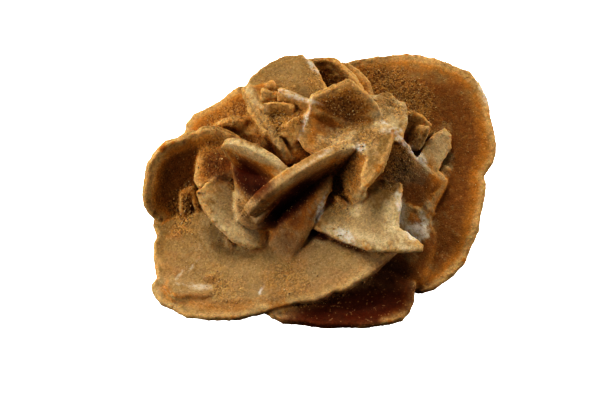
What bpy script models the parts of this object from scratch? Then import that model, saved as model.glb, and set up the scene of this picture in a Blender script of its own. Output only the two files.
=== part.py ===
"""A gypsum sand rose: one cluster of lens-shaped crystal petals, grown through each other, about 106 mm wide.

The rose stands on the ground plane, +Z up, with its showy side towards -Y. Lengths are in millimetres until
they become vertices. The petals of the showy side are laid out in show coordinates, as a person sees the rose
who looks at it from the front and 40 degrees above: right, up and near, where near counts towards the person.
Each petal lies in a plane of its own. Its facing is (turn, rise): turn 0 looks to the front and 90 to the
right, rise 0 is an upright petal and 90 one lying flat.
"""

import math

import bmesh
import bpy
from mathutils import Matrix, Vector

MM = 0.001
SHOW_RISE = math.radians(40)  # how far above the front the showy side is looked at from
GROUND = -34.5  # height of the ground below the middle of the show coordinates

SHOULDER = 0.72  # the ring between a petal's rim and its middle, as a share of its outline
RIM_WAVE = 0.04  # how much the rims of the round petals wave
POINTED = 1.4  # how far the ends of the blades draw out to points, 1 being round


def show(right, up, near):
    """The point above the ground plane that has these show coordinates."""
    along = up * math.sin(SHOW_RISE) - near * math.cos(SHOW_RISE)
    high = up * math.cos(SHOW_RISE) + near * math.sin(SHOW_RISE)
    return Vector((right, along, high - GROUND))


def facing_direction(turn, rise):
    """The way a petal looks, as a unit vector."""
    turn, rise = math.radians(turn), math.radians(rise)
    return Vector((math.sin(turn) * math.cos(rise), -math.cos(turn) * math.cos(rise), math.sin(rise)))


SIGHT = facing_direction(0, 40)  # from the rose to the person


def lens(name, loop, normal, thickness, rim, cup):
    """A closed petal on the outline loop: flat faces thickness apart, thinning to rim at its edge. Its edge
    is bent forward by cup."""
    middle = sum(loop, Vector()) / len(loop)
    count = len(loop)
    mesh = bmesh.new()
    edges = []
    for side in (1, -1):
        rings = []
        for share in (1.0, SHOULDER):
            lift = normal * (side * (rim if share == 1.0 else thickness) / 2 + cup * share**2)
            rings.append([mesh.verts.new((middle.lerp(point, share) + lift) * MM) for point in loop])
        outer, inner = rings
        for i in range(count):
            j = (i + 1) % count
            mesh.faces.new((outer[i], outer[j], inner[j], inner[i]))
        mesh.faces.new(inner)
        edges.append(outer)
    front, back = edges
    for i in range(count):
        j = (i + 1) % count
        mesh.faces.new((front[i], front[j], back[j], back[i]))
    bmesh.ops.recalc_face_normals(mesh, faces=mesh.faces)
    data = bpy.data.meshes.new(name)
    mesh.to_mesh(data)
    mesh.free()
    return bpy.data.objects.new(name, data)


def seen_petal(name, at, facing, seen, thickness=5.0, rim=1.8, cup=0.0):
    """A petal whose outline is given as it is seen from the show side: seen holds (right, up) points, dropped
    along the line of sight on to the plane through at that looks the way facing says."""
    normal = facing_direction(*facing)
    loop = []
    for right, up in seen:
        start = show(right, up, 0)
        loop.append(start + SIGHT * ((at - start).dot(normal) / SIGHT.dot(normal)))
    return lens(name, loop, normal, thickness, rim, cup)


def rim_petal(name, start, crest, end, depth, thickness=4.5, rim=1.8, count=16):
    """A blade whose rim runs from start over crest to end, and which reaches depth behind that chord."""
    middle = (start + end) / 2
    half, bulge = (end - start) / 2, crest - middle
    normal = half.cross(bulge).normalized()
    root = -bulge.normalized() * depth
    loop = []
    for i in range(count):
        angle = math.tau * i / count
        swell = math.sin(angle)
        across = (bulge if swell > 0 else root) * abs(swell) ** POINTED
        loop.append(middle + half * math.cos(angle) + across)
    return lens(name, loop, normal, thickness, rim, 0.0)


def round_petal(name, middle, facing, spin, half_length, half_width, thickness=5.0, rim=1.8, count=20):
    """An oval petal with a gently waved rim. spin turns its long axis in its own plane, from level."""
    normal = facing_direction(*facing)
    level = Vector((0, 0, 1)).cross(normal).normalized()
    long_axis = Matrix.Rotation(math.radians(spin), 3, normal) @ level
    short_axis = normal.cross(long_axis)
    loop = []
    for i in range(count):
        angle = math.tau * i / count
        reach = 1 + RIM_WAVE * (math.sin(3 * angle + spin) + 0.7 * math.sin(5 * angle + 2 * spin))
        along, across = half_length * math.cos(angle), half_width * math.sin(angle)
        loop.append(middle + (long_axis * along + short_axis * across) * reach)
    return lens(name, loop, normal, thickness, rim, 0.0)


def broad_petals():
    """The broad petals that make the outline of the rose."""
    return [
        seen_petal("back_right", show(31, -31, -16.7), (-12, 48),
                   [(9, 38), (13, 39), (22, 40), (27, 40.5), (31, 40), (36, 39), (42.5, 36.5), (46, 35),
                    (49, 31), (51, 27), (52, 21.5), (53.5, 14), (53.5, 11), (52.5, 8), (49.8, 4),
                    (50.5, 1.5), (50, -3), (48, -12), (44, -22), (39.5, -26.5), (34.5, -30), (30, -31),
                    (18, -26), (6, -12), (0, 6), (0, 26)], thickness=4.6, rim=2.0, cup=1.5),
        seen_petal("low_right", show(8.5, -41, -4.8), (4, 76),
                   [(-22, -34), (-15.5, -37), (-10.5, -39.5), (-5, -40), (1, -41), (8.5, -41), (14.5, -41),
                    (21.5, -40), (25, -38.7), (27.5, -36), (28.5, -33), (29, -28), (26, -16), (14, -6),
                    (-6, -6), (-20, -20)], thickness=4.6, rim=1.9, cup=0.5),
        seen_petal("low_right_behind", show(28, -30.5, -15), (-5, 45),
                   [(27, -30), (32, -29), (33, -26.5), (34, -21.5), (35.5, -17), (35, -13), (33, -8),
                    (22, 0), (8, -8), (8, -24), (18, -32)], thickness=4.0, rim=1.8),
        seen_petal("front", show(-34, -38.5, -7.8), (-20, 62),
                   [(-49, -8), (-49, -11), (-48, -14), (-49, -17), (-49, -22), (-48, -27), (-49.5, -29),
                    (-49, -31), (-47, -34), (-44, -35.5), (-39.5, -38), (-34, -38.7), (-23, -38.4),
                    (-17, -37), (-12, -35.4), (-5.5, -33.6), (0, -33.3), (5, -30.6), (7.5, -30.5),
                    (13.5, -27), (17.5, -24.3), (20.5, -21.6), (23.5, -18.5), (22, -10), (12, -4), (-8, -2),
                    (-26, -1), (-42, -3)], thickness=4.6, rim=1.8, cup=0.5),
        seen_petal("left", show(-42, 16, -16), (20, 20),
                   [(-42, 16), (-45.5, 15), (-48, 13), (-50, 10.5), (-51.5, 8), (-52, 5), (-52.5, 1.5),
                    (-53, -1.5), (-52, -4.5), (-51, -6.5), (-49, -8.5), (-42, -13), (-32, -13), (-22, -6),
                    (-20, 4), (-26, 12), (-36, 17.5)],
                   thickness=4.0, rim=1.5, cup=1.5),
        seen_petal("left_upper", show(-36, 17.7, -15.5), (-5, 12),
                   [(-42, 16), (-39.5, 17.5), (-36.5, 17.8), (-34.5, 19), (-30.5, 19), (-28, 18),
                    (-25.5, 17), (-23, 15.3), (-21.5, 13.5), (-18, 6), (-24, -4), (-34, -4), (-40, 6)],
                    thickness=3.0, rim=1.5, cup=0.5),
        seen_petal("upper_left", show(-22, 31, -20), (-20, 40),
                   [(-39.5, 17.5), (-39, 20), (-37, 22.5), (-33.5, 24.5), (-29.5, 26.5), (-26.5, 29),
                    (-23, 31), (-19, 31), (-10, 24), (-8, 12), (-20, 4), (-34, 8)], thickness=3.4, rim=1.7,
                    cup=0.5),
        seen_petal("top_back", show(-4.5, 40.5, -17), (-10, 65),
                   [(-21.5, 30), (-21, 31.5), (-20, 33.5), (-17, 36), (-14, 38), (-10, 40), (-7, 40.2),
                    (-4.5, 40.5), (-3.5, 39.3), (-1.5, 37.8), (0, 35.5), (1.5, 32.5), (2.7, 30.5), (2, 24),
                    (-6, 16), (-16, 16), (-21, 23)], thickness=3.4, rim=1.7),
        seen_petal("top_right", show(5.5, 39.5, -19), (-25, 20),
                   [(-6, 38), (-2.5, 39.6), (4.5, 39.7), (6, 39.2), (8.5, 37), (11.5, 34.2), (13.3, 31.5),
                    (15.7, 27.5), (16, 20), (8, 12), (-4, 16), (-10, 28)], thickness=3.2, rim=1.6, cup=1.0),
        seen_petal("top_right_behind", show(14, 34, -23), (5, 35),
                   [(3, 38), (9, 38.2), (12.3, 36.3), (14.7, 33.6), (15.8, 32), (16.6, 28.5), (16, 18),
                    (4, 18), (-2, 30)],
                   thickness=3.2, rim=1.6),
    ]


def heart_petals():
    """The petals of the middle of the rose."""
    return [
        # the centre right: two shelves, the upright petal below the upper one and the petals to its right
        seen_petal("shelf", show(11, 19, -8.4), (-15, 60),
                   [(23, 18.5), (22, 13.5), (20.5, 9.5), (19, 6), (13.2, -0.3), (13.5, 3), (15.5, 8),
                    (11, 12), (2, 10), (-4, 13), (0, 20), (14, 22)], thickness=3.2, rim=1.8),
        seen_petal("shelf_front", show(14, 4, -5.5), (-45, 20),
                   [(12, 14), (15.3, 8), (14, 0), (13.2, -3), (13, -8.5), (8, -11), (0, -8), (0, 4), (4, 12)],
                   thickness=3.0, rim=1.6),
        seen_petal("pale_shelf", show(20, 20, -9), (5, 64),
                   [(16, 28), (21.3, 29), (23.7, 26.5), (26, 25.8), (26.5, 23.5), (26.7, 20), (25.8, 17.4),
                    (25, 14), (20, 14), (16, 18.5), (8, 24)], thickness=3.0, rim=1.6),
        seen_petal("right_face", show(20, 9, -12.5), (15, 35),
                   [(21, 20), (23.2, 18.6), (24.6, 16), (27, 13.5), (28.5, 10.5), (29.7, 9.4), (31.8, 9.2),
                    (34, 7.2), (37.2, 4.8), (38.4, 3), (38.4, 1), (35.5, -4), (34, -8), (32.7, -12),
                    (31, -17), (20, -18), (8, -8), (8, 10)],
                   thickness=3.4, rim=1.6),
        seen_petal("low_shelf", show(-2, -11, -9.6), (-22, 60),
                   [(-2, -11), (2.7, -13.2), (7.2, -15.3), (11.7, -17), (19, -18.3), (27, -18.3),
                    (30.6, -18), (31, -16.5), (27, -13), (24, -11.4), (24.3, -5.4), (25, 1.5), (16, 4),
                    (2, 2), (-6, -4)], thickness=2.6, rim=1.1),
        seen_petal("hood", show(4, 31, -4), (5, 20),
                   [(-2, 28), (4, 30.7), (9.6, 33), (12.5, 30.5), (16, 27.5), (18.6, 23.7), (20, 20),
                    (18, 14), (6, 8), (-2, 14), (-3, 22)],
                   thickness=3.0, rim=1.6),
        seen_petal("hood_apron", show(5, 18.6, -9), (35, 50),
                   [(-2.2, 27.2), (-3.6, 23), (-4.6, 19.2), (-5.7, 16.5), (-4.5, 13), (2, 8), (12, 10),
                    (16, 18), (8, 24)],
                   thickness=3.0, rim=1.6),
        # the centre left
        seen_petal("lap", show(-9.3, -22, -9.4), (-30, 45),
                   [(4, 5), (4.2, 2.7), (3.9, 0), (2.7, -1.5), (1.2, -4.8), (-1.2, -7.8), (-1.8, -11),
                    (-4.5, -15.5), (-6.8, -19.6), (-9, -24.4), (-13, -22.4), (-16, -18), (-13, -11),
                    (-8, -3), (-2, 4)], thickness=3.2, rim=1.4),
        rim_petal("niche_blade", show(3.4, -0.8, -11), show(7.8, -3.6, -8), show(10.6, -8, -10), 5,
                  thickness=1.8, rim=0.9),
        seen_petal("fan", show(-36, -0.5, -11.5), (34, 58),
                   [(-36, -0.5), (-35.2, -3.6), (-33.6, -6.3), (-31.5, -9.3), (-28.2, -12.3), (-25.8, -14.7),
                    (-22.8, -16.4), (-19.8, -17.2), (-15.6, -17.4), (-8, -14), (-12, -2), (-21, 4), (-26, 5),
                    (-30.5, 3.8), (-33.6, 1.6)], thickness=2.4, rim=1.0),
        seen_petal("left_cheek", show(-30, 8, -16), (-15, 42),
                   [(-35.4, 15), (-35.7, 12), (-36.3, 8), (-36.6, 6), (-37, 3), (-35.5, 0.5), (-30, 2.6),
                    (-26, 3.8), (-21, 3), (-18, 8), (-25, 13.5)], thickness=3.0, rim=1.3),
        seen_petal("cheek_blade", show(-23, 2, -12), (-40, 30),
                   [(-25.5, 8), (-24.8, 3), (-24.6, -2), (-23, -7), (-18, -10), (-12, -4), (-14, 6),
                    (-20, 11)], thickness=2.6, rim=1.3),
        seen_petal("inner_lip", show(-24.5, -6.3, -10.5), (30, 58),
                   [(-25, -4), (-24.6, -6.3), (-23.6, -8.8), (-21.3, -10.5), (-19, -11.4), (-15.6, -11.4),
                    (-11, -12), (-4, -8), (-8, 2), (-20, 4)], thickness=2.8, rim=1.4),
        rim_petal("front_blade", show(-21.5, -6.5, -6), show(-7.2, 6.0, 1.5), show(11, 14, -5), 13,
                  thickness=4.6, rim=2.8),
        rim_petal("left_blade", show(-28.5, 13.6, -8), show(-19, 12.8, -1), show(-7, 3, -3), 11,
                  thickness=3.6, rim=2.2),
        rim_petal("ridge_blade", show(-22, 31, -14), show(-15.7, 21.3, -6), show(-8.5, 8, -6), 12,
                  thickness=3.6, rim=2.0),

        rim_petal("upper_left_blade", show(-31.5, 18.3, -20), show(-26.5, 21.3, -16.5),
                  show(-21.5, 20.5, -17), 6, thickness=2.6, rim=1.4, count=12),
        rim_petal("fan_stub", show(-28.5, -14, -15.5), show(-26.3, -17, -12.5), show(-24.5, -17.6, -14), 4,
                  thickness=2.4, rim=1.4, count=10),
        seen_petal("left_sliver", show(-38, 0, -19), (35, 30),
                   [(-38.7, 1), (-37.5, -4.2), (-35.7, -9.3), (-34, -13), (-32.6, -14), (-32.4, -11),
                    (-34, -4), (-36, 1)],
                   thickness=2.5, rim=1.2),
        seen_petal("left_stub", show(-40, -4, -20), (10, 30),
                   [(-41.5, 0), (-41.2, -6), (-40.5, -10), (-38.6, -10.2), (-38, -4), (-38.5, 1)],
                    thickness=3.0, rim=1.5),
        seen_petal("front_ridge", show(-38, -30, -9.6), (-20, 76),
                   [(-45.8, -29), (-43.5, -31.6), (-40.5, -32.2), (-37.5, -31.8), (-34.5, -32.5),
                    (-31.4, -31.6), (-29.8, -30), (-31, -28.2), (-36, -27), (-41, -26.4), (-44.5, -27.2)],
                    thickness=2.0, rim=1.1),
        # the small blades in the niche behind the middle
        seen_petal("niche_1", show(-17, 31.5, -11), (-10, 10),
                   [(-21, 30.8), (-17.4, 31.8), (-13.5, 32.4), (-12, 29), (-14, 24), (-20, 24)],
                    thickness=1.8, rim=0.9),
        seen_petal("niche_2", show(-14.5, 29, -8.5), (0, 10),
                   [(-16.6, 30), (-12.2, 28.9), (-12.4, 26), (-13, 22), (-17, 22)], thickness=1.8, rim=0.9),
        seen_petal("niche_3", show(-7, 28, -7), (-15, 15),
                   [(-11.5, 30.4), (-7, 28.6), (-1.8, 26.4), (-3, 22), (-8, 20), (-12, 24)], thickness=2.2,
                    rim=1.1),
        seen_petal("niche_4", show(-12, 25.5, -6), (0, 5),
                   [(-16.3, 25.9), (-11, 26), (-7.2, 25.2), (-8, 20), (-12, 17), (-15, 20)], thickness=1.6,
                    rim=0.8),
        seen_petal("niche_5", show(-8, 20, -4), (-30, 10),
                   [(-12.7, 18), (-7.5, 21), (-4.4, 21.9), (-5, 16), (-9, 12), (-12, 14)], thickness=1.6,
                    rim=0.8),
        # the small blades between the pale shelf and the back right petal
        seen_petal("nest_1", show(30, 22, -16), (10, 10),
                   [(26, 23), (28.8, 23.2), (31, 22), (33.7, 19.8), (31, 14), (26, 13)], thickness=1.8,
                    rim=1.0),
        seen_petal("nest_2", show(31, 16, -15), (-50, 35),
                   [(33.2, 19), (32, 15.6), (30.4, 12), (27, 12), (28, 19)], thickness=1.6, rim=0.9),
        seen_petal("nest_3", show(36, 13, -17), (30, 45),
                   [(32.4, 14.4), (35.6, 16.8), (38.2, 18), (39.6, 16.2), (39.4, 12.4), (37.6, 9.8),
                    (36.4, 6.6), (33, 5), (30.4, 9.6)], thickness=1.6, rim=0.9),
        seen_petal("nest_4", show(39, 5, -18), (20, 40),
                   [(36.5, 6.3), (38.1, 7.6), (39.9, 6.3), (40.9, 4.2), (40.7, 1.4), (38, 0), (35, 2)],
                    thickness=1.6,
                   rim=0.9),
    ]


def back_petals():
    """The petals that hold the rose up behind and below, laid out from the ground: across, back, high."""
    return [
        round_petal("back_skirt", Vector((0, 28, 5)), (180, 72), 0, 31, 19, thickness=6.0, rim=2.2),
        round_petal("back_wall", Vector((-8, 33, 27)), (190, 14), 10, 22, 19, thickness=5.5, rim=1.8),
        round_petal("back_fin_right", Vector((16, 33, 15)), (112, 8), 20, 15, 13,
                    thickness=4.5, rim=1.8, count=16),
        round_petal("back_fin_middle", Vector((2, 38, 16)), (74, 4), 70, 15, 13,
                    thickness=4.5, rim=1.8, count=16),
        round_petal("back_fin_left", Vector((-19, 34, 14)), (238, 12), 30, 14, 12,
                    thickness=4.5, rim=1.8, count=16),
        round_petal("back_cross_right", Vector((20, 40, 24)), (165, 42), 25, 17, 13,
                    thickness=5.0, rim=1.8, count=18),
        round_petal("back_cross_left", Vector((-14, 38, 13)), (150, 28), 115, 12, 10,
                    thickness=4.0, rim=1.6, count=14),
        round_petal("back_low", Vector((10, 44, 8)), (215, 40), 10, 13, 9, thickness=4.0, rim=1.6, count=14),
        round_petal("back_lip", Vector((-3, 40, 35)), (170, 36), 0, 15, 10, thickness=4.0, rim=1.6, count=16),
        round_petal("right_fin", Vector((33, 20, 12)), (70, 16), 15, 15, 11.5,
                    thickness=4.5, rim=1.8, count=16),
        round_petal("right_low", Vector((30, 12, 6)), (100, 55), 60, 13, 9, thickness=4.0, rim=1.6, count=14),
        round_petal("right_cross", Vector((38, 26, 20)), (20, 60), 40, 11, 8,
                    thickness=3.5, rim=1.6, count=14),
        round_petal("left_foot", Vector((-31, 9, 5.5)), (-100, 8), 0, 11, 6,
                    thickness=4.5, rim=1.8, count=14),
        round_petal("left_back", Vector((-26, 29, 19)), (-140, 30), 30, 15, 13,
                    thickness=5.0, rim=1.8, count=18),
    ]


def lump(name, at, reach):
    """A faceted lump of grown-in sand: reach is its half size to the right, up and near."""
    mesh = bmesh.new()
    bmesh.ops.create_icosphere(mesh, subdivisions=2, radius=1)
    for vertex in mesh.verts:
        swell = 1 + 0.08 * math.sin(5 * vertex.co.x + 3 * vertex.co.y) * math.cos(4 * vertex.co.z)
        right, up, near = (vertex.co[i] * reach[i] * swell for i in range(3))
        vertex.co = (at + show(right, up, near) - show(0, 0, 0)) * MM
    bmesh.ops.recalc_face_normals(mesh, faces=mesh.faces)
    data = bpy.data.meshes.new(name)
    mesh.to_mesh(data)
    mesh.free()
    return bpy.data.objects.new(name, data)


def sand_lumps():
    """The sand that fills the heart, and the small lumps on the petals."""
    return [
        lump("heart_fill", show(0, 2, -21), (25, 19, 8)),
        lump("back_fill", show(6, 21, -25.5), (9, 6, 5)),
        lump("worn_foot", show(0, -21, -17.5), (17, 7.5, 9)),
        lump("fan_root_fill", show(-14, -6.3, -15.3), (2.4, 2.4, 2)),
        lump("shelf_root_fill", show(9.6, 11.2, -10.6), (2, 2, 1.8)),
        lump("niche_fill", show(-5, 10.6, -9.2), (4.4, 3.8, 3.4)),
        lump("left_foot_fill", Vector((-19, 13, 3)), (14, 7, 8)),
        lump("right_foot_fill", Vector((18, 13, 2)), (15, 8, 8)),
        lump("heel_fill", Vector((-2, 24, 6)), (24, 8, 9)),
        lump("core_fill", Vector((8, 28, 16)), (10, 8, 8)),
        lump("front_crumb_left", show(-31.6, -26.6, -10.2), (2.8, 1.8, 1)),
        lump("front_crumb_low", show(-24, -33.2, -6.4), (3, 1.5, 1)),
        lump("niche_crumb", show(-7.2, 13.3, -8), (2.2, 1.6, 1.6)),
    ]


def stone_material():
    """Pale brown gypsum full of sand."""
    material = bpy.data.materials.new("gypsum")
    material.use_nodes = True
    shader = material.node_tree.nodes["Principled BSDF"]
    shader.inputs["Base Color"].default_value = (0.38, 0.22, 0.09, 1)
    shader.inputs["Roughness"].default_value = 0.7
    shader.inputs["Metallic"].default_value = 0.0
    return material


def centre_over_origin(petals):
    """Move the petals so that the middle of their box, seen from above, is the origin."""
    points = [vertex.co for petal in petals for vertex in petal.data.vertices if vertex.co.z >= 0]
    middle = [(min(point[k] for point in points) + max(point[k] for point in points)) / 2 for k in (0, 1)]
    for petal in petals:
        petal.data.transform(Matrix.Translation((-middle[0], -middle[1], 0)))


def build():
    """Grow the petals and lumps together into one solid, worn flat where it stands on the ground."""
    petals = broad_petals() + heart_petals() + back_petals() + sand_lumps()
    centre_over_origin(petals)
    rose, others = petals[0], petals[1:]
    grown_in = bpy.data.collections.new("petals")
    bpy.context.scene.collection.children.link(grown_in)
    for petal in others:
        grown_in.objects.link(petal)
    bpy.context.scene.collection.objects.link(rose)
    rose.name = "sand_rose"
    rose.data.materials.append(stone_material())
    union = rose.modifiers.new("grown together", "BOOLEAN")
    union.operation, union.operand_type, union.collection = "UNION", "COLLECTION", grown_in
    bpy.ops.mesh.primitive_cube_add(size=1, location=(0, 0, -0.05), scale=(0.3, 0.3, 0.1))
    ground = bpy.context.object
    ground.name = "ground"
    worn = rose.modifiers.new("worn flat", "BOOLEAN")
    worn.operation, worn.object = "DIFFERENCE", ground
    for helper in others + [ground]:
        helper.hide_render = True
        helper.display_type = "WIRE"
    return petals


for thing in list(bpy.data.objects):
    bpy.data.objects.remove(thing)
PETALS = build()
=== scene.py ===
"""The looks of the gypsum sand rose: its weathered skin, the sand that clings to it, and its studio.

Lengths are in metres and stand in the frame of the solid, +Z up, with the showy side towards -Y.
Places on the showy side are given in show coordinates, in millimetres: right, up and near, as a
person sees the rose who looks at it from the front and 40 degrees above.
"""

import math

import bmesh
import bpy
import numpy as np
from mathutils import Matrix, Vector
from mathutils.bvhtree import BVHTree


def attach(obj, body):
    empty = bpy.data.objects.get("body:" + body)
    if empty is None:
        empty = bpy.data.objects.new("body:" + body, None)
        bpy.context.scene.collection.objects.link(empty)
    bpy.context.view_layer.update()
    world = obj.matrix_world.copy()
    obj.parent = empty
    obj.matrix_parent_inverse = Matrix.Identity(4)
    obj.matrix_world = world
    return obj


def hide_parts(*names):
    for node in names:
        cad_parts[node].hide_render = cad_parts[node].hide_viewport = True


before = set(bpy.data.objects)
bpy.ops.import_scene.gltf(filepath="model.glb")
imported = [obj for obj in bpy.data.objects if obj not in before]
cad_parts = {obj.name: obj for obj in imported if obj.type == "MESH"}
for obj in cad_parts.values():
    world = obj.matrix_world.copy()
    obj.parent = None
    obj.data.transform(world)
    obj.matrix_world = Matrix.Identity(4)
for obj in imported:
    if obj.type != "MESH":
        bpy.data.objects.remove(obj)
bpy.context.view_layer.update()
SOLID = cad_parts["sand_rose"]

bl_info = {
    "name": "Gypsum sand rose",
    "version": (1, 0, 0),
    "blender": (4, 5, 0),
    "location": "3D View > Sidebar > Sand Rose",
    "description": "Builds the weathered skin, the clinging sand and the studio of a gypsum sand rose",
    "category": "Mesh",
}

MM = 0.001
SHOW_RISE = math.radians(40)  # how far above the front the showy side is looked at from
SHOW_ORIGIN = Vector((-0.33, -15.4, 34.5))  # where show (0, 0, 0) is, in millimetres
QUARTER_TURN = math.pi / 2


def show(right, up, near):
    """The place in the frame, in metres, of a point given in show coordinates."""
    along = up * math.sin(SHOW_RISE) - near * math.cos(SHOW_RISE)
    high = up * math.cos(SHOW_RISE) + near * math.sin(SHOW_RISE)
    return (SHOW_ORIGIN + Vector((right, along, high))) * MM


SIGHT = (show(0, 0, 1) - show(0, 0, 0)).normalized()  # from the rose towards who looks at its showy side


# ---------------------------------------------------------------- settings


class RoseSizes(bpy.types.PropertyGroup):
    voxel: bpy.props.FloatProperty(
        name="Voxel", description="Size of the cells the skin is made from", default=0.3 * MM, unit="LENGTH")
    skin_faces: bpy.props.IntProperty(
        name="Skin triangles", description="How many triangles the skin is thinned to", default=192000)
    soften: bpy.props.IntProperty(
        name="Soften", description="How many times the skin is smoothed", default=5)
    roll_depth: bpy.props.FloatProperty(
        name="Roll depth", description="Depth of the broad unevenness of the petals",
        default=0.6 * MM, unit="LENGTH")
    nibble_depth: bpy.props.FloatProperty(
        name="Nibble depth", description="Depth of the notches along worn rims",
        default=1.0 * MM, unit="LENGTH")
    crust_depth: bpy.props.FloatProperty(
        name="Crust depth", description="Height of the crusted sand in the crevices",
        default=0.5 * MM, unit="LENGTH")
    grain: bpy.props.FloatProperty(
        name="Grain", description="Usual width of a sand grain", default=0.38 * MM, unit="LENGTH")
    grains_each: bpy.props.IntProperty(
        name="Grains", description="How many grains each batch of sand has", default=9000)


def colour(name, description, value):
    """A colour that the user can change."""
    return bpy.props.FloatVectorProperty(
        name=name, description=description, subtype="COLOR", size=3, min=0, max=1, default=value)


class RoseColours(bpy.types.PropertyGroup):
    # Dust is also painted light: the faces that turn up to the light are painted paler with it.
    dust: colour("Dust", "Fine pale sand that lies on the upper faces", (0.56, 0.455, 0.28))
    ochre: colour("Ochre", "Warmer dust, on the petals further back", (0.28, 0.182, 0.072))
    crystal: colour("Crystal", "Clean brown crystal", (0.29, 0.132, 0.036))
    # Painted light: honey and cream stand in for light shining through the thin rims.
    honey_glow: colour("Honey", "Thinner crystal a little inside the rims", (0.50, 0.235, 0.05))
    cream_glow: colour("Cream", "The thin rims, which let light through", (0.56, 0.37, 0.165))
    silt: colour("Silt", "The darker dust in the middle of the petals", (0.35, 0.235, 0.105))
    # The crevice colour also serves as painted shade in the creases, where little open space is seen.
    crevice: colour("Crevice", "Damp-looking sand deep between the petals", (0.155, 0.07, 0.021))
    gold: colour("Gold", "Iron-stained sand", (0.43, 0.25, 0.083))
    white: colour("White", "Bruised, powdered gypsum", (0.68, 0.63, 0.55))
    grey: colour("Grey", "Weathered grey crust", (0.33, 0.25, 0.16))


class StudioSettings(bpy.types.PropertyGroup):
    key_power: bpy.props.FloatProperty(
        name="Key", description="Power of the soft light above and behind", default=4.4, unit="POWER")
    left_power: bpy.props.FloatProperty(
        name="Left", description="Power of the low light on the left", default=3.4, unit="POWER")
    right_power: bpy.props.FloatProperty(
        name="Right", description="Power of the low light on the right", default=3.0, unit="POWER")
    lens: bpy.props.FloatProperty(
        name="Lens", description="Focal length of the camera, in millimetres", default=400.0)
    floor: colour("Floor", "The pale table top", (0.9, 0.9, 0.9))


# ---------------------------------------------------------------- helpers for operators


WEIGHT_STEPS = 10


def deselect_all():
    bpy.ops.object.select_all(action="DESELECT")


def make_active(piece):
    deselect_all()
    piece.select_set(True)
    bpy.context.view_layer.objects.active = piece


def apply_modifier(piece, kind, **settings):
    """Add one modifier to the piece, set it and apply it."""
    make_active(piece)
    bpy.ops.object.modifier_add(type=kind)
    modifier = piece.modifiers[-1]
    for key, value in settings.items():
        setattr(modifier, key, value)
    bpy.ops.object.modifier_apply(modifier=modifier.name)


def cloud(name, size, depth=2):
    """A soft noise pattern whose lumps are about size wide, for Displace modifiers."""
    texture = bpy.data.textures.new(name, "CLOUDS")
    texture.noise_scale = size
    texture.noise_depth = depth
    return texture


def set_weights(piece, name, weights):
    """Give the piece a vertex group that holds the weights, in ten steps."""
    group = piece.vertex_groups.new(name=name)
    steps = np.clip(np.round(np.asarray(weights) * WEIGHT_STEPS), 0, WEIGHT_STEPS).astype(int)
    for step in range(1, WEIGHT_STEPS + 1):
        members = np.nonzero(steps == step)[0].tolist()
        if members:
            group.add(members, step / WEIGHT_STEPS, "REPLACE")


def set_attribute(mesh, name, values):
    attribute = mesh.attributes.get(name) or mesh.attributes.new(name, "FLOAT", "POINT")
    attribute.data.foreach_set("value", np.asarray(values, dtype=np.float32))


def read_attribute(mesh, name):
    values = np.empty(len(mesh.vertices), np.float32)
    mesh.attributes[name].data.foreach_get("value", values)
    return values


def positions_and_normals(mesh):
    count = len(mesh.vertices)
    places, normals = np.empty(count * 3, np.float32), np.empty(count * 3, np.float32)
    mesh.vertices.foreach_get("co", places)
    mesh.vertices.foreach_get("normal", normals)
    return places.reshape(-1, 3), normals.reshape(-1, 3)


def stand_on_ground(piece):
    """Press flat whatever reaches below the ground."""
    places = positions_and_normals(piece.data)[0]
    places[:, 2] = np.maximum(places[:, 2], 0)
    piece.data.vertices.foreach_set("co", places.ravel())
    piece.data.update()


def blur(mesh, values, times):
    """Values spread to neighbouring vertices, a number of times."""
    edges = np.empty(len(mesh.edges) * 2, np.int32)
    mesh.edges.foreach_get("vertices", edges)
    a, b = edges.reshape(-1, 2).T
    count = len(mesh.vertices)
    share = np.bincount(a, minlength=count) + np.bincount(b, minlength=count)
    values = np.asarray(values, float)
    for _ in range(times):
        around = np.bincount(a, values[b], count) + np.bincount(b, values[a], count)
        values = 0.5 * values + 0.5 * around / np.maximum(share, 1)
    return values


def smoothstep(low, high, values):
    """0 below low and 1 above high, with a smooth rise between them."""
    t = np.clip((values - low) / (high - low), 0, 1)
    return t * t * (3 - 2 * t)


def even_directions(count):
    """Directions spread evenly over a sphere."""
    directions = []
    for i in range(count):
        z = 1 - (2 * i + 1) / count
        ring, angle = math.sqrt(1 - z * z), i * math.pi * (3 - math.sqrt(5))
        directions.append(Vector((ring * math.cos(angle), ring * math.sin(angle), z)))
    return directions


# ---------------------------------------------------------------- what the surface is like at each place

FELT_STEP = 12  # before it is displaced, the skin is felt on one in this many vertices
FELT_BLURS = 12  # and what was felt is spread to the others in this many rounds
SKY_REACH = 14 * MM  # how far a neighbour may be and still shelter a place
SKY_DIRECTIONS = 18
SKY_START = 0.6 * MM  # how far outside the skin the look at the sky begins
GRAZING = 0.1  # directions that rise less than this from the skin aren't looked in
RIM_REACH = 8 * MM  # how far inside a rim it is still felt
RIM_DIRECTIONS = 12
RIM_START = 0.3 * MM  # how far inside the skin the look for the petal's far side begins
PETAL_MOST = 7 * MM  # a stone thicker than this is no petal


def solid_tree():
    """The solid, ready for rays."""
    return BVHTree.FromObject(SOLID, bpy.context.evaluated_depsgraph_get())


def openness(places, normals, tree):
    """How much open space each place sees, from 0 deep in a crevice to 1 in the open."""
    directions = even_directions(SKY_DIRECTIONS)
    result = np.empty(len(places))
    for i, (place, normal) in enumerate(zip(places, normals)):
        normal = Vector(normal)
        start = Vector(place) + normal * SKY_START
        seen = total = 0.0
        for direction in directions:
            weight = normal.dot(direction)
            if weight > GRAZING:
                total += weight
                hit = tree.ray_cast(start, direction, SKY_REACH)
                seen += weight if hit[0] is None else weight * 0.5 * hit[3] / SKY_REACH
        result[i] = seen / total if total else 1.0
    return result


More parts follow.
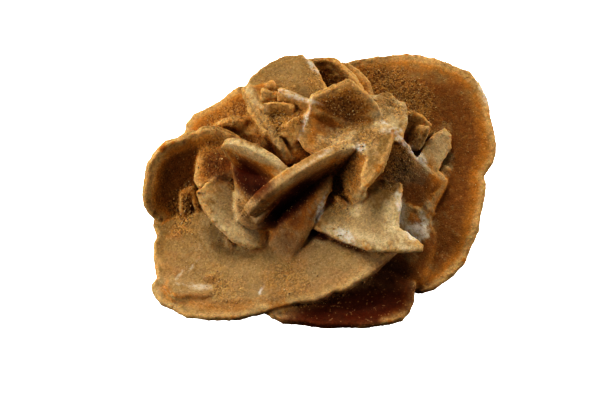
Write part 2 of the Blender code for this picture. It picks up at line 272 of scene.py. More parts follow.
def rim_distance(places, normals, tree):
    """How far inside the nearest rim of its petal each place is, as a share of RIM_REACH."""
    result = np.empty(len(places))
    turns = [QUARTER_TURN * 4 * i / RIM_DIRECTIONS for i in range(RIM_DIRECTIONS)]
    circle = [(math.cos(turn), math.sin(turn)) for turn in turns]
    for i, (place, normal) in enumerate(zip(places, normals)):
        normal = Vector(normal)
        skin = Vector(place) - normal * RIM_START
        far_side = tree.ray_cast(skin, -normal, PETAL_MOST)
        deep = 0.5 * (PETAL_MOST if far_side[0] is None else far_side[3])
        middle = skin - normal * deep
        level = normal.orthogonal().normalized()
        slope = normal.cross(level)
        nearest = RIM_REACH
        for c, s in circle:
            hit = tree.ray_cast(middle, level * c + slope * s, nearest)
            if hit[0] is not None:
                nearest = hit[3]
        result[i] = nearest / RIM_REACH
    return result


def show_places(places):
    """The show coordinates, in millimetres, of many places."""
    away = places / MM - np.array(SHOW_ORIGIN)
    right = away[:, 0]
    up = away[:, 1] * math.sin(SHOW_RISE) + away[:, 2] * math.cos(SHOW_RISE)
    near = -away[:, 1] * math.cos(SHOW_RISE) + away[:, 2] * math.sin(SHOW_RISE)
    return right, up, near


# Worn, stained and sandy places on the showy side, and places where light and shade are painted, each with
# its middle (right, up), its half sizes (across, along), its turn in degrees and its strength.
BRUISES_AND_HIGHLIGHT = (
    ((12.6, 12.8), (1.6, 1.3), 0, 1.0),  # end of the front blade
    ((8.5, -14.3), (3.4, 1.6), -28, 1.0),  # rim of the low shelf
    ((0.6, -6.6), (0.9, 3.6), -18, 1.0),  # crest of the lap
    ((24.6, -5.0), (1.0, 5.5), 8, 0.8),  # edge of the low shelf
    ((29.5, -11.5), (3.4, 4.2), 0, 0.9),  # foot of the right face
    ((27.0, 13.0), (8.0, 1.0), -42, 0.9),  # upper edge of the right face
    ((22.6, 17.6), (3.2, 1.4), 0, 0.7),  # corner of the shelf
    ((-3.9, 20.3), (0.8, 6.2), -18, 0.9),  # left rim of the apron
    ((-1.5, 37.0), (0.8, 3.6), 35, 0.6),  # right edge of the top back petal
    ((-6.9, 28.0), (5.6, 0.8), -19, 0.7),  # top of a niche blade
    ((49.6, 29.8), (1.6, 4.5), 25, 0.7),  # rim of the back right petal
    ((-36.5, -28.8), (5.6, 0.9), -4, 0.45),  # crest of the front ridge
    ((-37.5, -22.8), (0.45, 2.2), -38, 0.5),  # scratches
    ((-41.5, -25.5), (0.3, 1.6), -38, 0.4),
    ((-17.1, -30.0), (0.3, 1.4), -32, 0.9),
    ((0.5, 9.8), (5.5, 0.7), 33, 0.5),  # rim of the front blade, a painted highlight
)
GOLD_PATCHES = (
    ((9.4, 18.3), (2.4, 1.0), 0, 1.0),  # foot of the hood
    ((-9.5, -26.5), (6.0, 5.5), 0, 0.55),  # right end of the front petal
    ((-12.0, 23.0), (9.0, 8.0), 0, 0.8),  # niche
    ((29.5, 17.0), (6.0, 7.0), 0, 0.7),  # right of the pale shelf
    ((-30.0, -25.0), (3.0, 3.0), 0, 0.5),  # middle of the front petal
    ((3.5, 35.5), (5.0, 5.0), 0, 0.85),  # top right petal
)
GREY_PATCHES = (
    ((27.0, 6.0), (5.5, 8.5), -20, 0.5),  # right face
    ((30.0, -7.0), (4.0, 7.0), 10, 0.4),  # foot of the right face
)
# Clean crystal with little dust, which is also painted shade: these petals lie out of the light and are
# painted darker.
CLEAN_AND_SHADED_PLACES = (
    ((8.0, -36.0), (30.0, 10.5), 15, 1.0),  # low right petal, under the front one
    ((33.0, -21.0), (6.0, 10.0), 20, 0.9),  # behind it
    ((41.0, 2.0), (11.0, 32.0), 8, 0.65),  # back right petal
    ((-42.0, 6.0), (12.0, 13.0), 20, 0.8),  # left petal
    ((-5.0, 3.0), (16.0, 5.0), 38, 0.7),  # front blade
    ((-5.0, -13.0), (5.0, 9.0), -25, 0.6),  # lap
)
# Pale dust and painted light: the faces that take the light are painted paler, and the blade rims carry
# painted highlights.
PALE_DUST_AND_LIGHT_PLACES = (
    ((-15.0, -26.0), (40.0, 15.0), 8, 0.27),  # front petal
    ((0.0, -25.0), (26.0, 13.0), 8, 0.45),  # its right half
    ((-26.0, -9.0), (9.5, 10.0), 0, 0.75),  # fan
    ((15.0, -11.0), (18.0, 8.0), 0, 1.0),  # low shelf
    ((21.0, 22.0), (6.5, 5.5), 0, 0.9),  # pale shelf
    ((9.0, 14.5), (9.0, 4.5), 0, 0.85),  # top of the shelf
    ((35.5, 12.0), (4.5, 6.5), 0, 0.7),  # blade on the right
    ((-5.0, 5.2), (19.0, 2.4), 33, 0.45),  # rim of the front blade, a painted highlight
    ((-18.5, 10.6), (11.0, 2.4), -25, 0.9),  # rim of the left blade, a painted highlight
    ((-15.5, 20.0), (14.0, 2.0), -60, 0.8),  # rim of the ridge blade, a painted highlight
)
# Painted shade: places where shadow falls or a face turns from the light, darkened in the skin's colour.
PAINTED_SHADE_PLACES = (
    ((9.0, -36.5), (24.0, 6.6), 15, 1.0),  # low right petal
    ((22.0, -27.0), (7.0, 7.0), 30, 0.8),  # above its right end
    ((0.6, -13.6), (3.4, 1.3), -20, 1.0),  # under the edge of the low shelf
    ((8.5, -16.6), (7.0, 0.8), -21, 0.8),
    ((-8.4, -4.2), (12.0, 3.6), 42, 1.0),  # under the front blade
    ((-20.0, 3.0), (7.5, 4.4), -45, 1.0),  # under the left blade
    ((-29.5, 7.0), (5.0, 5.5), 0, 0.65),  # left cheek
    ((7.0, 24.0), (7.0, 4.0), -25, 0.35),  # face of the hood
    ((-5.0, -10.0), (5.0, 10.0), -25, 0.35),  # lap
    ((-18.5, -8.5), (4.5, 4.0), 0, 0.3),  # inner lip
)
SANDY_PLACES = (
    ((4.0, 34.0), (7.0, 6.5), 40, 0.6),  # top right petal
    ((9.0, 24.5), (9.5, 7.0), -25, 0.65),  # face of the hood
    ((-11.0, 20.0), (8.0, 9.0), 0, 0.9),  # niche
    ((-24.0, 20.0), (9.0, 8.0), 20, 0.6),  # foot of the upper left petal
    ((8.5, 3.0), (5.0, 12.0), -10, 0.7),  # front of the shelf
    ((9.0, 15.0), (11.0, 4.0), 10, 0.7),  # top of the shelf
    ((24.0, 28.5), (13.0, 6.5), -35, 0.9),  # foot of the back right petal
    ((32.0, 17.0), (4.0, 4.0), 0, 0.7),  # right of the pale shelf
    ((24.5, 8.0), (5.0, 8.0), -20, 0.9),  # right face
    ((-40.0, -6.0), (4.5, 7.0), 0, 0.9),  # foot of the left petal
    ((-32.0, 9.0), (5.0, 6.5), 0, 0.6),  # left cheek
    ((-9.0, -27.0), (7.0, 6.5), 0, 0.35),  # right end of the front petal
    ((-27.5, -30.0), (6.5, 4.5), -20, 0.4),  # crumbs on the front petal
    ((-20.0, -5.0), (5.0, 5.0), 0, 0.5),  # inner lip
)


PATCH_BORDER = (0.55, 1.35)  # a patch fades between these shares of its half sizes
RAGGED = 0.55  # how far the noise moves its border
NOISE_WAVES = 10
NOISE_MOST = 3.2  # a sum of waves beyond this is clipped


def patches(right, up, marks, noise=0.0):
    """How strongly each place is in one of the marks, with borders made ragged by the noise."""
    result = np.zeros(len(right))
    for (mid_right, mid_up), (across, along), turn, strength in marks:
        c, s = math.cos(math.radians(turn)), math.sin(math.radians(turn))
        x = ((right - mid_right) * c + (up - mid_up) * s) / across
        y = ((up - mid_up) * c - (right - mid_right) * s) / along
        inside = 1 - smoothstep(*PATCH_BORDER, np.sqrt(x * x + y * y) + RAGGED * noise)
        result = np.maximum(result, strength * inside)
    return result


def seeded_noise(places, size, seed):
    """Smooth noise between -1 and 1 that changes over about size."""
    rng = np.random.default_rng(seed)
    result = np.zeros(len(places))
    for _ in range(NOISE_WAVES):
        wave = rng.normal(size=3)
        wave *= 2 * math.pi / size * rng.uniform(0.45, 1.3) / np.linalg.norm(wave)
        result += np.sin(places @ wave + rng.uniform(0, 2 * math.pi))
    return np.clip(result / NOISE_MOST, -1, 1)


# ---------------------------------------------------------------- materials

GRAINS_PER_METRE = 2300.0
BROAD_PER_METRE = 90.0  # patches of a centimetre or so
FINE_PER_METRE = 700.0  # blotches of a millimetre or so
PAINTED_SHADE_TINT = (0.24, 0.10, 0.055, 1)  # what the places with painted shade keep of their colour
PAINTED_GLINT = (0.80, 0.55, 0.28, 1)
TAN_GRAIN = (0.50, 0.35, 0.17, 1)
PALE_GRAIN = (0.60, 0.46, 0.26, 1)
DARK_GRAIN = (0.18, 0.11, 0.055, 1)


def new_group(name, inputs, outputs):
    """An empty node group with named inputs and outputs, and its two end nodes."""
    group = bpy.data.node_groups.new(name, "ShaderNodeTree")
    for label, kind, value in inputs:
        socket = group.interface.new_socket(name=label, in_out="INPUT", socket_type=kind)
        socket.default_value = value
    for label, kind in outputs:
        group.interface.new_socket(name=label, in_out="OUTPUT", socket_type=kind)
    return group, group.nodes.new("NodeGroupInput"), group.nodes.new("NodeGroupOutput")


class Wiring:
    """Adds nodes to a tree and joins them, so that a material reads from top to bottom."""

    def __init__(self, tree):
        self.tree = tree

    def node(self, kind, settings=None, **inputs):
        node = self.tree.nodes.new(kind)
        for key, value in (settings or {}).items():
            setattr(node, key, value)
        for key, value in inputs.items():
            self.feed(node.inputs[int(key[1:]) if key[1:].isdigit() else key.replace("_", " ")], value)
        return node

    def feed(self, socket, value):
        if isinstance(value, bpy.types.NodeSocket):
            self.tree.links.new(value, socket)
        elif isinstance(value, bpy.types.Node):
            self.tree.links.new(value.outputs[0], socket)
        else:
            socket.default_value = value

    def math(self, operation, a, b=0.0, clamp=False):
        settings = {"operation": operation, "use_clamp": clamp}
        return self.node("ShaderNodeMath", settings, i0=a, i1=b).outputs[0]

    def ramp(self, value, low, high):
        """0 below low and 1 above high."""
        node = self.node("ShaderNodeMapRange", {"interpolation_type": "SMOOTHSTEP"}, Value=value)
        node.inputs["From Min"].default_value = low
        node.inputs["From Max"].default_value = high
        return node.outputs[0]

    def mix(self, share, a, b, blend="MIX"):
        node = self.node("ShaderNodeMix", {"data_type": "RGBA", "blend_type": blend})
        self.feed(node.inputs["Factor"], share)
        self.feed(node.inputs["A"], a)
        self.feed(node.inputs["B"], b)
        return node.outputs["Result"]

    def attribute(self, name):
        return self.node("ShaderNodeAttribute", {"attribute_name": name}).outputs["Fac"]

    def noise(self, place, scale, detail=2.0, roughness=0.5):
        node = self.node("ShaderNodeTexNoise", Vector=place, Scale=scale, Detail=detail, Roughness=roughness)
        return node.outputs["Fac"]


def sand_grain_group():
    """Round sand grains: their height, a value of its own for each grain, and a mask of the grains that get a
    painted glint.
    """
    group, start, end = new_group(
        "Sand grain",
        [
            ("Vector", "NodeSocketVector", (0, 0, 0)),
            ("Grains per metre", "NodeSocketFloat", GRAINS_PER_METRE),
        ],
        [("Height", "NodeSocketFloat"), ("Grain value", "NodeSocketFloat"), ("Glint", "NodeSocketFloat")])
    w = Wiring(group)
    cells = w.node(
        "ShaderNodeTexVoronoi", Vector=start.outputs["Vector"], Scale=start.outputs["Grains per metre"])
    height = w.math("SUBTRACT", 1.0, w.math("POWER", cells.outputs["Distance"], 2.0), clamp=True)
    value = w.node("ShaderNodeSeparateColor", Color=cells.outputs["Color"])
    w.feed(end.inputs["Height"], height)
    w.feed(end.inputs["Grain value"], value.outputs[0])
    w.feed(end.inputs["Glint"], w.ramp(value.outputs[1], 0.93, 0.97))
    return group


def new_material(name):
    """A new material, the wiring of its nodes, and its shader."""
    material = bpy.data.materials.new(name)
    material.use_nodes = True
    return material, Wiring(material.node_tree), material.node_tree.nodes["Principled BSDF"]


def gypsum_material(colours):
    """Sandy gypsum covered in dust, with painted light and shade. The mesh's own attributes say where it is
    thin, sheltered, covered in dust or stained, and where light and shade are painted on it.
    """
    material, w, shader = new_material("weathered gypsum")
    place = w.node("ShaderNodeTexCoord").outputs["Object"]
    grain = w.node("ShaderNodeGroup", {"node_tree": sand_grain_group()}, Vector=place)
    grain.inputs["Grains per metre"].default_value = GRAINS_PER_METRE
    height, tone, painted_glint = (grain.outputs[k] for k in ("Height", "Grain value", "Glint"))
    broad = w.noise(place, BROAD_PER_METRE, 3.0, 0.6)
    fine = w.noise(place, FINE_PER_METRE, 3.0, 0.65)

    rim, open_air, dusty, pale = (w.attribute(k) for k in ("rim", "open", "dusty", "pale"))
    bruised, golden, grey, crusted = (w.attribute(k) for k in ("bruised", "golden", "grey", "crusted"))

    uneven = w.math("ADD", rim, w.math("MULTIPLY", w.math("SUBTRACT", broad, 0.5), 0.25))
    # Painted light: towards its thin rims the crystal is painted warmer and then paler, for light that shines
    # through them.
    clean = w.mix(w.ramp(uneven, 0.75, 0.25), (*colours.crystal, 1), (*colours.honey_glow, 1))
    clean = w.mix(w.ramp(uneven, 0.38, 0.10), clean, (*colours.cream_glow, 1))
    clean = w.mix(w.math("MULTIPLY", pale, 0.75), clean, (*colours.dust, 1))
    # Dust on the faces that turn up, partly painted light that makes these faces paler.
    cover = w.math("ADD", dusty, w.math("MULTIPLY", w.math("SUBTRACT", fine, 0.5), 0.7), clamp=True)
    dust = w.mix(pale, (*colours.ochre, 1), (*colours.dust, 1))
    silted = w.mix(w.ramp(uneven, 0.30, 0.75), dust, w.mix(0.6, dust, (*colours.silt, 1)))
    base = w.mix(cover, clean, silted)
    sand = w.mix(w.ramp(tone, -0.6, 0.9), (*colours.crevice, 1), (*colours.gold, 1))
    base = w.mix(w.math("MULTIPLY", crusted, w.ramp(tone, -0.6, 0.8)), base, sand)
    base = w.mix(w.math("MULTIPLY", golden, w.ramp(fine, 0.35, 0.65)), base, (*colours.gold, 1))
    base = w.mix(w.math("MULTIPLY", grey, w.ramp(broad, 0.3, 0.6)), base, (*colours.grey, 1))
    # Painted shade: places that see little open space are darkened towards the crevice colour.
    base = w.mix(w.ramp(open_air, 0.3, 0.05), base, (*colours.crevice, 1))
    # Painted shade: the places listed for it are darkened.
    base = w.mix(w.attribute("damp"), base, w.mix(1.0, base, PAINTED_SHADE_TINT, "MULTIPLY"))
    shade = w.node("ShaderNodeMapRange", Value=tone)
    shade.inputs["To Min"].default_value, shade.inputs["To Max"].default_value = 0.62, 1.3
    speckled = w.mix(1.0, base, shade.outputs[0], "MULTIPLY")
    base = w.mix(w.math("ADD", 0.5, w.math("MULTIPLY", crusted, 0.5), clamp=True), base, speckled)
    # Painted glint: a few grains are painted pale, as if they caught the light.
    base = w.mix(w.math("MULTIPLY", painted_glint, 0.18), base, PAINTED_GLINT)
    # White bruises, and on the rim of the front blade a painted highlight.
    base = w.mix(w.math("MULTIPLY", bruised, w.ramp(fine, 0.3, 0.6)), base, (*colours.white, 1))
    w.feed(shader.inputs["Base Color"], base)

    shader.inputs["Roughness"].default_value = 0.62
    shader.inputs["Specular IOR Level"].default_value = 0.15
    shader.inputs["Subsurface Weight"].default_value = 0.4
    shader.inputs["Subsurface Radius"].default_value = (0.9, 0.48, 0.20)
    shader.inputs["Subsurface Scale"].default_value = 2.2 * MM

    grainy = w.math("ADD", 0.4, w.math("MULTIPLY", crusted, 0.6), clamp=True)
    relief = w.math("MULTIPLY", height, grainy)
    relief = w.math("ADD", relief, w.math("MULTIPLY", fine, 0.6))
    bump = w.node("ShaderNodeBump", Height=relief)
    bump.inputs["Strength"].default_value = 0.9
    bump.inputs["Distance"].default_value = 0.2 * MM
    w.feed(shader.inputs["Normal"], bump)
    return material


def grain_material(colours):
    """Loose sand grains, each with its own tint from the mesh attribute tint."""
    material, w, shader = new_material("loose sand")
    tint, open_air = w.attribute("tint"), w.attribute("open")
    base = w.mix(w.ramp(tint, 0.0, 0.8), (*colours.gold, 1), TAN_GRAIN)
    base = w.mix(w.ramp(tint, 0.90, 0.97), base, PALE_GRAIN)
    base = w.mix(w.ramp(tint, 0.16, 0.08), base, DARK_GRAIN)
    # Painted shade: grains deep in the crevices are darkened towards the crevice colour.
    base = w.mix(w.ramp(open_air, 0.45, 0.05), base, (*colours.crevice, 1))
    w.feed(shader.inputs["Base Color"], base)
    shader.inputs["Roughness"].default_value = 0.5
    shader.inputs["Subsurface Weight"].default_value = 0.15
    shader.inputs["Subsurface Radius"].default_value = (1.0, 0.5, 0.2)
    shader.inputs["Subsurface Scale"].default_value = 0.6 * MM
    return material


# ---------------------------------------------------------------- operators

GREY_NEAREST = -8  # the grey crust lies no nearer than this, in show coordinates
WELD = 0.002 * MM  # corners of the solid's loose triangles that are nearer than this are one
FINE_MOST = 0.8  # below 1, because a fully weighted vertex would never be thinned out


class SANDROSE_OT_skin(bpy.types.Operator):
    """Cover the solid with one weathered skin: softened faces, nibbled rims and crusted crevices"""

    bl_idname = "sandrose.skin"
    bl_label = "Weathered skin"

    def execute(self, context):
        sizes = context.scene.rose_sizes
        skin = SOLID.copy()
        skin.data = SOLID.data.copy()
        skin.name = skin.data.name = "rose_skin"
        skin.parent = None
        for key in [k for k in skin.keys() if k.startswith("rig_")]:
            del skin[key]
        context.scene.collection.objects.link(skin)
        make_active(skin)
        bpy.ops.object.mode_set(mode="EDIT")
        bpy.ops.mesh.select_all(action="SELECT")
        bpy.ops.mesh.remove_doubles(threshold=WELD)
        bpy.ops.object.mode_set(mode="OBJECT")
        apply_modifier(skin, "REMESH", mode="VOXEL", voxel_size=sizes.voxel)
        apply_modifier(skin, "SMOOTH", factor=0.5, iterations=sizes.soften)
        self.weather(skin, sizes)
        make_active(skin)
        self.thin_out(skin, sizes)
        skin.vertex_groups.clear()
        stand_on_ground(skin)
        make_active(skin)
        bpy.ops.object.shade_smooth()
        self.describe(skin)
        skin.data.materials.clear()
        skin.data.materials.append(gypsum_material(context.scene.rose_colours))
        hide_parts("sand_rose")
        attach(skin, "root")
        return {"FINISHED"}

    def weather(self, skin, sizes):
        """Push the skin in and out: broad rolls everywhere, notches on the rims and crust in the crevices."""
        mesh = skin.data
        places, normals = positions_and_normals(mesh)
        tree = solid_tree()
        some = np.arange(0, len(places), FELT_STEP)
        rim, shelter, known = (np.zeros(len(places)) for _ in range(3))
        rim[some] = 1 - smoothstep(0.06, 0.22, rim_distance(places[some], normals[some], tree))
        shelter[some] = 1 - smoothstep(0.35, 0.75, openness(places[some], normals[some], tree))
        known[some] = 1
        known = np.maximum(blur(mesh, known, FELT_BLURS), 1e-6)
        rim, shelter = (blur(mesh, values, FELT_BLURS) / known for values in (rim, shelter))
        right, up, _ = show_places(places)
        showy = smoothstep(-0.2, 0.2, normals @ np.array(SIGHT))
        sandy = np.maximum(shelter, patches(right, up, SANDY_PLACES) * showy)
        set_weights(skin, "rim", rim)
        set_weights(skin, "crust", sandy * (1 - 0.7 * rim))
        set_weights(skin, "fine", FINE_MOST * np.maximum(rim, showy))
        # Name, width and depth of the noise, strength, the level that stays in place, and where it acts.
        displace = (
            ("rolls", 9 * MM, 2, sizes.roll_depth, 0.32, ""),
            ("ripples", 2.2 * MM, 2, 0.45 * sizes.roll_depth, 0.5, ""),
            ("notches", 2.4 * MM, 3, sizes.nibble_depth, 0.30, "rim"),
            ("nibbles", 0.9 * MM, 3, 0.6 * sizes.nibble_depth, 0.36, "rim"),
            ("crust", 0.8 * MM, 3, sizes.crust_depth, 0.4, "crust"),
        )
        for name, size, depth, strength, level, group in displace:
            apply_modifier(
                skin, "DISPLACE", texture=cloud(name, size, depth), strength=strength, mid_level=level,
                vertex_group=group)

    def thin_out(self, skin, sizes):
        """Thin the skin to the set number of triangles, most of them on the rims and the showy side."""
        apply_modifier(skin, "TRIANGULATE")
        share = sizes.skin_faces / len(skin.data.polygons)
        apply_modifier(
            skin, "DECIMATE", ratio=share,
            vertex_group="fine", invert_vertex_group=True, vertex_group_factor=1.0)
        share = sizes.skin_faces / len(skin.data.polygons)
        if share < 1:
            apply_modifier(skin, "DECIMATE", ratio=share)

    def describe(self, skin):
        """Write what each place of the skin is like, and where light and shade are painted on it, into
        attributes that the material reads.
        """
        mesh = skin.data
        places, normals = positions_and_normals(mesh)
        tree = solid_tree()
        open_air = blur(mesh, openness(places, normals, tree), 2)
        rim = blur(mesh, rim_distance(places, normals, tree), 3)
        right, up, near = show_places(places)
        ragged = seeded_noise(places, 5 * MM, 1) * 0.6 + seeded_noise(places, 1.6 * MM, 2) * 0.4
        facing_up = blur(mesh, normals[:, 2], 6)
        facing_showy = normals @ np.array(SIGHT) > -0.3
        # Dust on the faces that turn up: partly real dust, partly painted light, as these faces take the
        # light from above.
        dusty = smoothstep(0.72, 0.90, facing_up + 0.06 * ragged)
        crevice = (1 - smoothstep(0.30, 0.72, open_air)) * smoothstep(-0.5, 0.2, facing_up + 0.3)
        crusted = np.maximum(crevice, patches(right, up, SANDY_PLACES, ragged) * facing_showy)
        inside_rims = smoothstep(0.10, 0.30, rim)
        crusted = crusted * (0.25 + 0.75 * inside_rims)
        # Paler dust, partly painted light on faces that take the light, and painted highlights on the blade
        # rims.
        pale = patches(right, up, PALE_DUST_AND_LIGHT_PLACES, ragged) * facing_showy
        # Less dust on the clean crystal places; this is also painted shade on the petals that lie out of the
        # light.
        dusty = dusty * (1 - patches(right, up, CLEAN_AND_SHADED_PLACES, 0.4 * ragged))
        set_attribute(mesh, "open", open_air)
        set_attribute(mesh, "pale", pale)
        # painted shade, where shadow falls on the showy side
        set_attribute(mesh, "damp", patches(right, up, PAINTED_SHADE_PLACES, 0.3 * ragged) * facing_showy)
        set_attribute(mesh, "rim", rim)
        set_attribute(mesh, "dusty", np.maximum(dusty, pale * smoothstep(0.1, 0.6, facing_up)))
        set_attribute(mesh, "crusted", np.clip(crusted + 0.25 * ragged * (crusted > 0.02), 0, 1))
        # white bruises, and a painted highlight on the rim of the front blade
        set_attribute(mesh, "bruised", patches(right, up, BRUISES_AND_HIGHLIGHT, ragged) * facing_showy)
        set_attribute(mesh, "golden", patches(right, up, GOLD_PATCHES, ragged) * facing_showy)
        far_back = near < GREY_NEAREST
        set_attribute(mesh, "grey", patches(right, up, GREY_PATCHES, ragged) * facing_showy * far_back)


GRAIN_POINTS = 12  # a grain is a twenty-sided icosahedron
GRAIN_SPREAD = 0.28  # how much the logarithm of the grains' widths varies


def grain_shape():
    """The points and faces of one round grain of radius 1."""
    shape = bmesh.new()
    bmesh.ops.create_icosphere(shape, subdivisions=1, radius=1)
    points = np.array([vertex.co for vertex in shape.verts])
    faces = np.array([[vertex.index for vertex in face.verts] for face in shape.faces])
    shape.free()
    return points, faces


def scatter(mesh, weights, count, rng):
    """Places, normals and corners of triangles for count grains that lie where the weights are high."""
    places, normals = positions_and_normals(mesh)
    corners = np.empty(len(mesh.polygons) * 3, np.int32)
    mesh.polygons.foreach_get("vertices", corners)
    corners = corners.reshape(-1, 3)
    a, b, c = (places[corners[:, k]] for k in range(3))
    area = np.linalg.norm(np.cross(b - a, c - a), axis=1)
    total = np.cumsum(area * weights[corners].mean(axis=1))
    chosen = np.searchsorted(total, rng.uniform(0, total[-1], count))
    u, v = rng.uniform(size=(2, count, 1))
    over = u + v > 1
    u, v = np.where(over, 1 - u, u), np.where(over, 1 - v, v)
    where = a[chosen] + u * (b - a)[chosen] + v * (c - a)[chosen]
    return where, normals[corners[chosen, 0]], corners[chosen, 0]


def random_turns(count, rng):
    """Random rotation matrices."""
    turns = np.linalg.qr(rng.normal(size=(count, 3, 3)))[0]
    return turns * np.sign(np.linalg.det(turns))[:, None, None]


def sand_piece(name, skin, weights, count, width, seed, material):
    """Make one mesh of many loose grains that stick to the skin."""
    rng = np.random.default_rng(seed)
    where, normals, nearest = scatter(skin.data, weights, count, rng)
    points, faces = grain_shape()
    half = 0.5 * width * np.exp(rng.normal(0, GRAIN_SPREAD, (count, 1, 1)))
    stretch = rng.uniform(0.7, 1.15, (count, 1, 3))
    dents = rng.uniform(0.82, 1.12, (count, GRAIN_POINTS, 1))
    grains = np.einsum("nij,npj->npi", random_turns(count, rng), points[None] * stretch * dents) * half
    grains += (where + normals * half[:, 0] * rng.uniform(-0.1, 0.55, (count, 1)))[:, None]
    grains[..., 2] = np.maximum(grains[..., 2], 0)
    every_face = faces[None] + (np.arange(count) * GRAIN_POINTS)[:, None, None]
    mesh = bpy.data.meshes.new(name)
    mesh.from_pydata(grains.reshape(-1, 3).tolist(), [], every_face.reshape(-1, 3).tolist())
    set_attribute(mesh, "open", np.repeat(read_attribute(skin.data, "open")[nearest], GRAIN_POINTS))
    set_attribute(mesh, "tint", np.repeat(rng.uniform(size=count), GRAIN_POINTS))
    mesh.materials.append(material)
    piece = bpy.data.objects.new(name, mesh)
    bpy.context.scene.collection.objects.link(piece)
    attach(piece, "root")


class SANDROSE_OT_sand(bpy.types.Operator):
    """Stick loose sand grains to the skin: most in its crevices, some on its faces"""

    bl_idname = "sandrose.sand"
    bl_label = "Loose sand"

    def execute(self, context):
        sizes = context.scene.rose_sizes
        skin = bpy.data.objects["rose_skin"]
        mesh = skin.data
        material = grain_material(context.scene.rose_colours)
        places, normals = positions_and_normals(mesh)
        crusted, dusty, damp = (read_attribute(mesh, key) for key in ("crusted", "dusty", "damp"))
        showy = smoothstep(-0.1, 0.25, normals @ np.array(SIGHT))
        drifts = smoothstep(0.0, 0.7, seeded_noise(places, 6 * MM, 5))
        upward = smoothstep(-0.3, 0.3, normals[:, 2])
        # Name, how thickly the grains lie at each place, their width as a share of the usual, and the seed.
        batches = (
            ("crevice_sand", crusted**2 * showy, 1.0, 11),
            # no fine sand lies on the places with painted shade
            ("fine_sand", showy * (0.04 + 0.5 * dusty * drifts + crusted) * (1 - damp), 0.75, 12),
            ("back_sand", (1 - showy) * upward * (0.05 + crusted), 1.0, 13),
        )
        for name, weights, share, seed in batches:
            sand_piece(name, skin, weights, sizes.grains_each, sizes.grain * share, seed, material)
        return {"FINISHED"}


LIGHT_TARGET = (0, 0, -10)  # in show coordinates, as is the next
VIEW_MIDDLE = (-5.4, -3.0, -8.0)
VIEW_WIDTH = 179.2 * MM  # how much the camera takes in, measured at the rose
SENSOR_WIDTH = 36  # of the camera, in millimetres
LIGHT_DISTANCE = 0.8
LIGHTS = (  # name, direction, width, tint
    ("key", (-0.18, 0.36, 0.91), 0.4, (1.0, 0.97, 0.92)),
    ("left", (-0.86, -0.40, 0.30), 0.3, (1.0, 0.97, 0.93)),
    ("right", (0.94, -0.05, 0.30), 0.45, (1.0, 0.97, 0.93)),
)
FLOOR_DROP = 0.02 * MM  # the floor lies this far below the rose's foot
SKY_LOW = (0.010, 0.008, 0.006, 1)
SKY_HIGH = (0.09, 0.085, 0.08, 1)


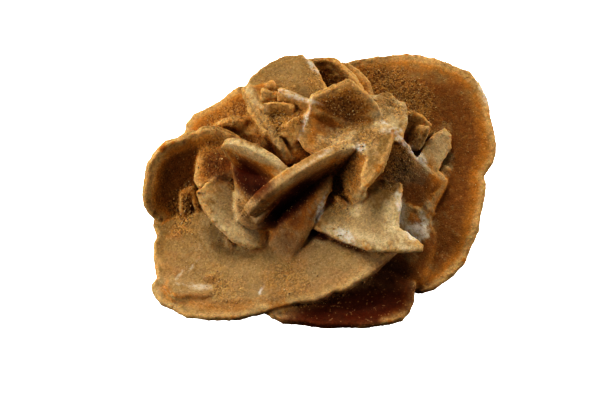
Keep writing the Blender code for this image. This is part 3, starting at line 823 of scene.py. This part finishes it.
class SANDROSE_OT_studio(bpy.types.Operator):
    """Set the pale floor, the soft lights and the camera"""

    bl_idname = "sandrose.studio"
    bl_label = "Studio"

    def execute(self, context):
        studio = context.scene.rose_studio
        self.floor(studio)
        for name, direction, width, tint in LIGHTS:
            self.light(name, Vector(direction), width, getattr(studio, f"{name}_power"), tint)
        self.camera(context, studio)
        self.world(context)
        context.scene.view_settings.view_transform = "Standard"
        context.scene.view_settings.look = "Very High Contrast"
        return {"FINISHED"}

    def floor(self, studio):
        deselect_all()
        bpy.ops.mesh.primitive_plane_add(size=6, location=(0, 0, -FLOOR_DROP))
        floor = bpy.context.object
        floor.name = "floor"
        material, _, shader = new_material("pale table")
        shader.inputs["Base Color"].default_value = (*studio.floor, 1)
        shader.inputs["Roughness"].default_value = 0.8
        shader.inputs["Emission Color"].default_value = (1, 1, 1, 1)
        shader.inputs["Emission Strength"].default_value = 0.95
        floor.data.materials.append(material)
        floor.visible_diffuse = False
        floor.visible_glossy = False

    def light(self, name, direction, width, power, tint):
        place = show(*LIGHT_TARGET) + direction.normalized() * LIGHT_DISTANCE
        bpy.ops.object.light_add(type="AREA", location=place)
        light = bpy.context.object
        light.name = name
        light.rotation_mode = "QUATERNION"
        light.rotation_quaternion = direction.to_track_quat("Z", "Y")
        light.data.shape = "DISK"
        light.data.size = width
        light.data.energy = power
        light.data.color = tint
        light.visible_camera = False

    def camera(self, context, studio):
        distance = VIEW_WIDTH * studio.lens / SENSOR_WIDTH
        bpy.ops.object.camera_add(location=show(*VIEW_MIDDLE) + SIGHT * distance)
        camera = bpy.context.object
        camera.name = "camera"
        camera.rotation_mode = "QUATERNION"
        camera.rotation_quaternion = SIGHT.to_track_quat("Z", "Y")
        camera.data.lens = studio.lens
        camera.data.clip_end = 20
        context.scene.camera = camera

    def world(self, context):
        world = bpy.data.worlds.new("studio")
        context.scene.world = world
        world.use_nodes = True
        w = Wiring(world.node_tree)
        background = world.node_tree.nodes["Background"]
        seen = w.node("ShaderNodeLightPath").outputs["Is Camera Ray"]
        direction = w.node("ShaderNodeTexCoord").outputs["Generated"]
        height = w.node("ShaderNodeSeparateXYZ", Vector=direction).outputs["Z"]
        sky = w.mix(w.ramp(height, -0.1, 0.9), SKY_LOW, SKY_HIGH)
        w.feed(background.inputs["Color"], w.mix(seen, sky, (1, 1, 1, 1)))


STEPS = ("skin", "sand", "studio")
SETTINGS = {"rose_sizes": RoseSizes, "rose_colours": RoseColours, "rose_studio": StudioSettings}


class SANDROSE_PT_panel(bpy.types.Panel):
    """The steps of the sand rose, in order"""

    bl_idname = "SANDROSE_PT_panel"
    bl_label = "Sand Rose"
    bl_space_type = "VIEW_3D"
    bl_region_type = "UI"
    bl_category = "Sand Rose"

    def draw(self, context):
        for step in STEPS:
            self.layout.operator(f"sandrose.{step}")
        for name, group in SETTINGS.items():
            column = self.layout.column()
            for key in group.__annotations__:
                column.prop(getattr(context.scene, name), key)


CLASSES = (*SETTINGS.values(), SANDROSE_OT_skin, SANDROSE_OT_sand, SANDROSE_OT_studio, SANDROSE_PT_panel)


def register():
    for cls in CLASSES:
        bpy.utils.register_class(cls)
    for name, group in SETTINGS.items():
        setattr(bpy.types.Scene, name, bpy.props.PointerProperty(type=group))


def unregister():
    for name in SETTINGS:
        delattr(bpy.types.Scene, name)
    for cls in reversed(CLASSES):
        bpy.utils.unregister_class(cls)


def main():
    register()
    for step in STEPS:
        getattr(bpy.ops.sandrose, step)()


if __name__ == "__main__":
    main()
